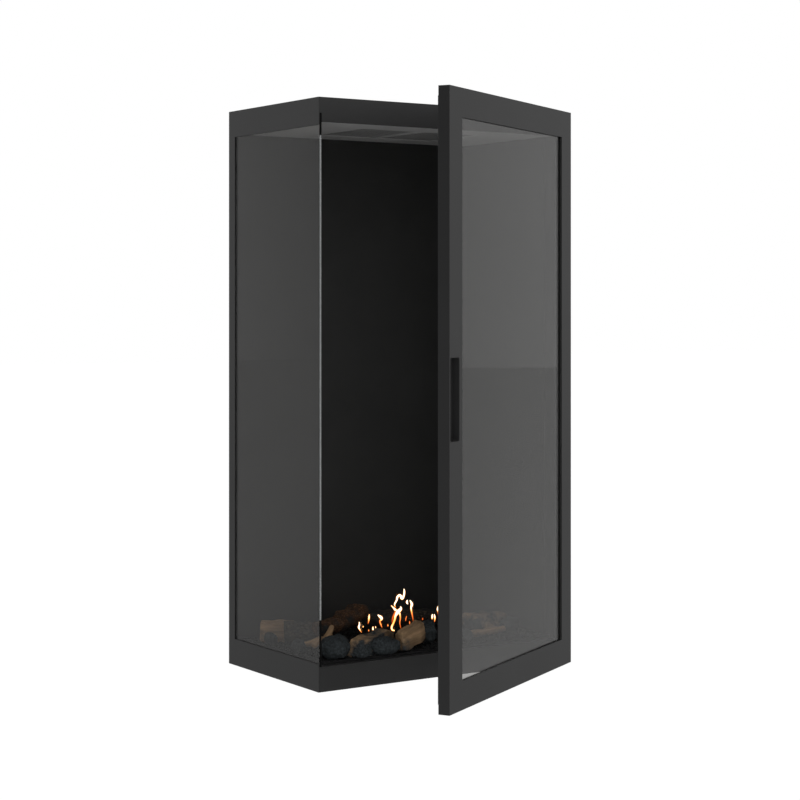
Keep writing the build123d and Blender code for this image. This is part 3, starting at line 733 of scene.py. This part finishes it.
def flame_tongue(shape, warmth_layer, foot, points, across):
    """Adds one tongue of flame: a ribbon along its curve, warmest along the spine."""
    rows = []
    path = smooth_path(points, FLAME_ROWS)
    for number, (side, rise, width, warmth) in enumerate(path):
        before = path[max(0, number - 1)]
        after = path[min(len(path) - 1, number + 1)]
        run = Vector((after[0] - before[0], after[1] - before[1])).normalized()
        centre = foot + across * (side / 1000) + Vector((0.0, 0.0, rise / 1000))
        square = across * run.y - Vector((0.0, 0.0, run.x))
        row = []
        for column in range(FLAME_COLUMNS + 1):
            share = 2.0 * column / FLAME_COLUMNS - 1.0
            corner = shape.verts.new(centre + square * (share * width / 2000))
            corner[warmth_layer] = warmth * (1.0 - share * share) ** 0.6
            row.append(corner)
        rows.append(row)
    for low, high in zip(rows, rows[1:]):
        for column in range(FLAME_COLUMNS):
            shape.faces.new((low[column], low[column + 1], high[column + 1], high[column]))


# Operators

class FIREPLACE_OT_stage(bpy.types.Operator):
    """Set up the camera, the pale floor and the white surroundings"""

    bl_idname = "fireplace.stage"
    bl_label = "Studio"

    def execute(self, context):
        sizes = context.scene.fireplace_stage
        camera = bpy.data.cameras.new("camera")
        camera.lens = sizes.lens
        camera.sensor_width = 36.0
        camera.shift_y = sizes.rise
        camera.clip_end = 100.0
        stand = link("camera", camera)
        stand.location = sizes.camera_place
        stand.rotation_euler = (pi / 2, 0.0, -sizes.camera_turn)
        context.scene.camera = stand
        self.lay_floor(sizes)
        self.light_world(context, sizes)
        context.scene.view_settings.view_transform = "Standard"
        return {"FINISHED"}

    def lay_floor(self, sizes):
        """Lays the pale floor under the base."""
        shape = bmesh.new()
        bmesh.ops.create_grid(shape, x_segments=8, y_segments=8, size=sizes.floor_size / 2)
        mesh = bpy.data.meshes.new("floor")
        shape.to_mesh(mesh)
        shape.free()
        floor = link("floor", mesh)
        material, tree, shader = new_material("pale_floor")
        tone = by_ray(tree, sizes.floor_shine, sizes.floor_light)
        tree.links.new(tone.outputs["Result"], shader.inputs["Emission Color"])
        shader.inputs["Base Color"].default_value = (0.02, 0.02, 0.02, 1.0)
        shader.inputs["Roughness"].default_value = 1.0
        shader.inputs["Specular IOR Level"].default_value = 0.0
        shader.inputs["Emission Strength"].default_value = 1.0
        material.cycles.emission_sampling = "NONE"
        mesh.materials.append(material)

    def light_world(self, context, sizes):
        """White surroundings, which reflections show darker to the left and the right."""
        world = bpy.data.worlds.new("surroundings")
        world.use_nodes = True
        tree = world.node_tree
        light = tree.nodes["Background"]
        place = tree.nodes.new("ShaderNodeTexCoord")
        parts = tree.nodes.new("ShaderNodeSeparateXYZ")
        tree.links.new(place.outputs["Generated"], parts.inputs["Vector"])
        span = tree.nodes.new("ShaderNodeMapRange")
        span.inputs["From Min"].default_value = -1.0
        tree.links.new(parts.outputs["X"], span.inputs["Value"])
        ramp = colour_ramp(
            tree,
            span.outputs["Result"],
            [(spot, grey(brightness)) for spot, brightness in SURROUNDINGS],
        )
        tone = by_ray(tree, ramp.outputs["Color"], sizes.floor_light)
        tree.links.new(tone.outputs["Result"], light.inputs["Color"])
        light.inputs["Strength"].default_value = sizes.sky_strength
        context.scene.world = world


class FIREPLACE_OT_finishes(bpy.types.Operator):
    """Give every metal, glass and gasket piece its finish"""

    bl_idname = "fireplace.finishes"
    bl_label = "Finishes"

    def execute(self, context):
        tones = context.scene.fireplace_finish
        # Painted light: the finger pull has the same black powder coat as the door, made 2.2 times
        # lighter to paint light into its shaded recess
        pull_painted_light_colour = shade(tones.coat_colour, 2.2)
        coat = painted_steel("black_powder_coat", tones.coat_colour, roughness=0.42, specular=0.5)
        liner = painted_steel("black_liner_paint", tones.liner_colour, roughness=0.6, specular=0.25)
        ceiling = painted_steel(
            "grey_ceiling_paint", tones.ceiling_colour, roughness=0.5, specular=0.4
        )
        grille = painted_steel("grille_paint", tones.grille_colour, roughness=0.5, specular=0.4)
        # Painted shade: this near-black paint on the glass clips stands in for the dark that the
        # front edge of the side glass shows at its ends; the strip screws wear it too
        black = painted_steel("black_paint_and_edge_painted_shade", grey(0.002), roughness=0.7, specular=0.1)
        side_glass = ceramic_glass("side_glass", tones.glass_tint, index=1.33)
        door_glass = ceramic_glass("door_glass", tones.glass_tint, index=1.46)
        pull_painted_light_coat = painted_steel("pull_coat_painted_light", pull_painted_light_colour, roughness=0.5, specular=0.5)
        tape = woven_tape("woven_tape", grey(0.03))
        steel = bare_metal(
            "drawn_steel", (0.5, 0.5, 0.51), roughness=0.35, stretch=(1.0, 1.0, 0.05)
        )
        brass = bare_metal(
            "turned_brass", (0.72, 0.53, 0.24), roughness=0.3, stretch=(1.0, 0.05, 1.0)
        )
        alloy = bare_metal(
            "cast_alloy", (0.56, 0.56, 0.57), roughness=0.5, stretch=(1.0, 1.0, 1.0)
        )
        porcelain = fire_stone("porcelain", (0.62, 0.6, 0.56), scale=300.0)
        by_slot = {
            "black_steel": coat,
            "liner_steel": liner,
            "ceiling_steel": ceiling,
            "grille_steel": grille,
            "woven_gasket": tape,
            "plain_steel": steel,
            "brass": brass,
            "cast_aluminium": alloy,
            "electrode_ceramic": porcelain,
        }
        by_node = {
            "side_glass": side_glass,
            "door_glass": door_glass,
            # The finger pull gets the lighter copy of the coat, which paints light into its recess
            "finger_pull": pull_painted_light_coat,
            # The glass clips are near black as painted shade over the ends of the glass edge
            "glass_clips": black,
            "strip_screws": black,
            "burner_tray": liner,
            "pilot_burner": liner,
            "spark_electrode": liner,
            "thermocouple": liner,
        }
        for entry in frame["record"]["subparts"]:
            node = entry["node"]
            finish = by_node.get(node, by_slot.get(entry["material_slot"]))
            if finish is None:
                continue
            mesh = frame["nodes"][node].data
            mesh.materials.clear()
            mesh.materials.append(finish)
        self.lay_painted_light_edge()
        return {"FINISHED"}

    def lay_painted_light_edge(self):
        """Lays a pale strip along the front edge of the side glass between its two clips, as
        painted light for the light seen through that edge.
        """
        low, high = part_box("side_glass")
        clips_low, clips_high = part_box("glass_clips")
        start = Vector((
            low[0] + 2 * EDGE_INSET,
            clips_low[1] + EDGE_INSET,
            clips_low[2] + BOTTOM_CLIP,
        ))
        end = Vector((
            high[0] - 2 * EDGE_INSET,
            low[1] - EDGE_INSET,
            clips_high[2] - TOP_CLIP,
        ))
        shape = bmesh.new()
        place = Matrix.Translation((start + end) / 2) @ Matrix.Diagonal((*(end - start), 1.0))
        bmesh.ops.create_cube(shape, size=1.0, matrix=place)
        mesh = bpy.data.meshes.new("glass_edge_painted_light")
        shape.to_mesh(mesh)
        shape.free()
        piece = link("glass_edge_painted_light", mesh)
        # Painted light: the opaque pale grey of this strip stands in for the light seen through the
        # glass edge
        mesh.materials.append(fire_stone("painted_light_edge_speckle", (0.28, 0.29, 0.29), scale=500.0))
        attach(piece, BODY)


class FIREPLACE_OT_logs(bpy.types.Operator):
    """Carve the ceramic logs and branches over their solids"""

    bl_idname = "fireplace.logs"
    bl_label = "Ceramic logs"

    def execute(self, context):
        look = context.scene.fireplace_fire
        tan = split_wood("split_wood", look.tan_colour, look.char_colour, char_share=0.42)
        burnt = split_wood("burnt_wood", look.tan_colour, look.char_colour, char_share=0.55)
        bark = rough_bark("bark", look.bark_colour, look.char_colour)
        dark_bark = rough_bark("dark_bark", (0.055, 0.044, 0.033), look.char_colour)
        for node in TAN_LOGS + BARK_LOGS:
            piece = refined_copy(node, f"{node}_carved", look.log_grid)
            carve_log(piece)
            if node in BARK_LOGS:
                finish = dark_bark if node in ("log_back", "log_left_hump") else bark
            else:
                finish = burnt if node in ("log_front", "log_door_side") else tan
            piece.data.materials.append(finish)
            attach(piece, BODY)
            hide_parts(node)
        return {"FINISHED"}


class FIREPLACE_OT_stones(bpy.types.Operator):
    """Roughen the fire stones over their solids"""

    bl_idname = "fireplace.stones"
    bl_label = "Fire stones"

    def execute(self, context):
        look = context.scene.fireplace_fire
        piece = refined_copy("stones", "fire_stones", look.stone_grid)
        roughen(piece)
        piece.data.materials.append(fire_stone("fire_stone", look.char_colour, scale=160.0))
        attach(piece, BODY)
        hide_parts("stones")
        return {"FINISHED"}


class FIREPLACE_OT_embers(bpy.types.Operator):
    """Scatter loose granules over the ember bed"""

    bl_idname = "fireplace.embers"
    bl_label = "Ember granules"

    def execute(self, context):
        look = context.scene.fireplace_fire
        low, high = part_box("ember_bed")
        chance = random.Random(EMBER_SEED)
        shape = bmesh.new()
        margin = look.ember_size
        for _ in range(look.ember_count):
            x = chance.uniform(low[0] + margin, high[0] - margin)
            y = chance.uniform(low[1] + margin, high[1] - margin)
            width = look.ember_size * chance.uniform(0.5, 1.4)
            granule(shape, Vector((x, y, high[2] + 0.15 * width)), width, chance)
        mesh = bpy.data.meshes.new("ember_granules")
        shape.to_mesh(mesh)
        shape.free()
        piece = link("ember_granules", mesh)
        finish = fire_stone("ember", (0.009, 0.009, 0.0095), scale=400.0)
        mesh.materials.append(finish)
        bed = frame["nodes"]["ember_bed"].data
        bed.materials.clear()
        bed.materials.append(finish)
        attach(piece, BODY)
        return {"FINISHED"}


class FIREPLACE_OT_flames(bpy.types.Operator):
    """Raise the flames from the burner between the logs"""

    bl_idname = "fireplace.flames"
    bl_label = "Flames"

    def execute(self, context):
        look = context.scene.fireplace_fire
        shape = bmesh.new()
        warmth = shape.verts.layers.float.new("warmth")
        for foot, points in FLAMES:
            place = Vector(foot) / 1000
            for turn in (FLAME_TURN, FLAME_TURN + pi / 2):
                across = Vector((cos(turn), sin(turn), 0.0))
                flame_tongue(shape, warmth, place, points, across)
        mesh = bpy.data.meshes.new("flames")
        shape.to_mesh(mesh)
        shape.free()
        for polygon in mesh.polygons:
            polygon.use_smooth = True
        piece = link("flames", mesh)
        mesh.materials.append(flame_body("flame", look.flame_light))
        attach(piece, BODY)
        return {"FINISHED"}


class FIREPLACE_PT_panel(bpy.types.Panel):
    """The fireplace's sizes, colours and steps"""

    bl_label = "Corner fireplace"
    bl_idname = "FIREPLACE_PT_panel"
    bl_space_type = "VIEW_3D"
    bl_region_type = "UI"
    bl_category = "Fireplace"

    def draw(self, context):
        for settings in (
            context.scene.fireplace_stage,
            context.scene.fireplace_finish,
            context.scene.fireplace_fire,
        ):
            box = self.layout.box()
            for name in settings.__annotations__:
                box.prop(settings, name)
        for step in STEPS:
            self.layout.operator(step.bl_idname)


STEPS = (
    FIREPLACE_OT_stage,
    FIREPLACE_OT_finishes,
    FIREPLACE_OT_logs,
    FIREPLACE_OT_stones,
    FIREPLACE_OT_embers,
    FIREPLACE_OT_flames,
)
SETTINGS = (FireplaceStageSettings, FireplaceFinishSettings, FireplaceFireSettings)


def register():
    """Registers the settings, the steps and the panel."""
    for entry in SETTINGS + STEPS + (FIREPLACE_PT_panel,):
        bpy.utils.register_class(entry)
    bpy.types.Scene.fireplace_stage = bpy.props.PointerProperty(type=FireplaceStageSettings)
    bpy.types.Scene.fireplace_finish = bpy.props.PointerProperty(type=FireplaceFinishSettings)
    bpy.types.Scene.fireplace_fire = bpy.props.PointerProperty(type=FireplaceFireSettings)


def unregister():
    """Removes what register added."""
    del bpy.types.Scene.fireplace_fire
    del bpy.types.Scene.fireplace_finish
    del bpy.types.Scene.fireplace_stage
    for entry in reversed(SETTINGS + STEPS + (FIREPLACE_PT_panel,)):
        bpy.utils.unregister_class(entry)


def main():
    """Makes the whole scene."""
    register()
    bpy.ops.fireplace.stage()
    bpy.ops.fireplace.finishes()
    bpy.ops.fireplace.logs()
    bpy.ops.fireplace.stones()
    bpy.ops.fireplace.embers()
    bpy.ops.fireplace.flames()


if __name__ == "__main__":
    main()
